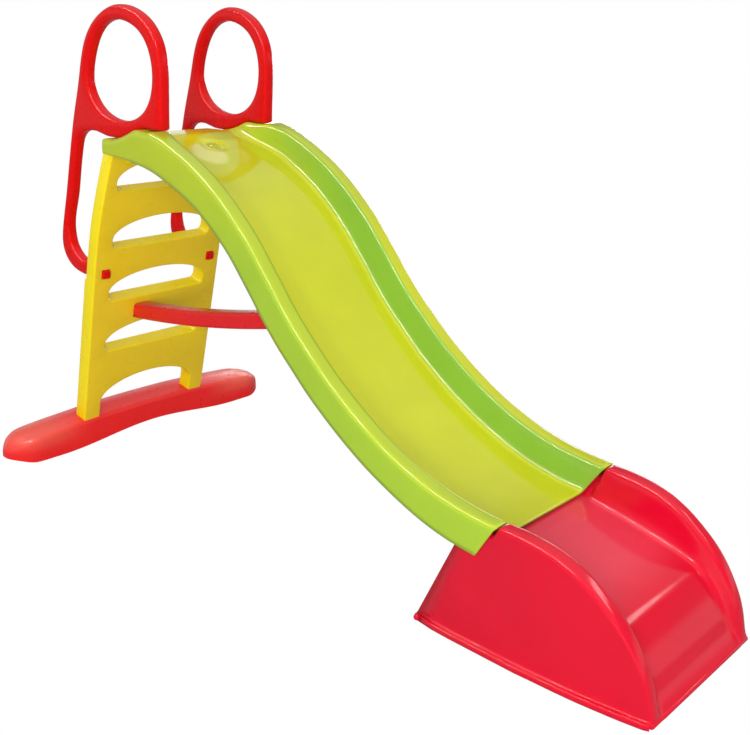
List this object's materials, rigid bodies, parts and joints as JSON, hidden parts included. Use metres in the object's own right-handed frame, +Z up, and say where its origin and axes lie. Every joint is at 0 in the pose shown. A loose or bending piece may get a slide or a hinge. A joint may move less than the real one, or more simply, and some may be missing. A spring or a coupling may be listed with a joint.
{
  "type": "kids slide",
  "caption": "Free-standing moulded plastic slide for a garden: wavy chute with raised rims, leaning ladder panel, hand grips, brace, wide base foot and a low curved run-out shell.",
  "frame": {"origin": "middle of the overall length and width, on the floor", "axes": "+X downhill along the slide, away from the ladder; +Y to the rider's left; +Z up"},
  "size_m": [1.775, 0.805, 1.0977],
  "materials": {
    "chute_green": "glossy moulded lime green polyethylene, lighter on the bed",
    "ladder_yellow": "semi-gloss moulded yellow polyethylene",
    "run_out_red": "glossy moulded red polyethylene",
    "foot_red": "semi-gloss moulded red polyethylene",
    "grip_red": "semi-gloss moulded red polyethylene",
    "brace_red": "semi-gloss moulded red polyethylene",
    "inlet_plastic": "moulded plastic fitting",
    "zinc_steel": "zinc-plated screws, bolt and nut"
  },
  "bodies": {
    "root": {"chute": "chute_green", "ladder": "ladder_yellow", "run_out_foot": "run_out_red", "base_foot": "foot_red", "handle_left": "grip_red", "handle_right": "grip_red", "brace": "brace_red", "water_inlet": "inlet_plastic", "inlet_nut": "inlet_plastic", "handle_screw_left_1": "zinc_steel", "handle_screw_left_2": "zinc_steel", "handle_screw_right_1": "zinc_steel", "handle_screw_right_2": "zinc_steel", "run_out_screw_left_1": "zinc_steel", "run_out_screw_left_2": "zinc_steel", "run_out_screw_right_1": "zinc_steel", "run_out_screw_right_2": "zinc_steel", "ladder_top_screw_left": "zinc_steel", "ladder_top_screw_right": "zinc_steel", "brace_screw_left": "zinc_steel", "brace_screw_right": "zinc_steel", "leg_screw_left": "zinc_steel", "leg_screw_right": "zinc_steel", "brace_bolt": "zinc_steel", "brace_nut": "zinc_steel"}
  },
  "joints": []
}
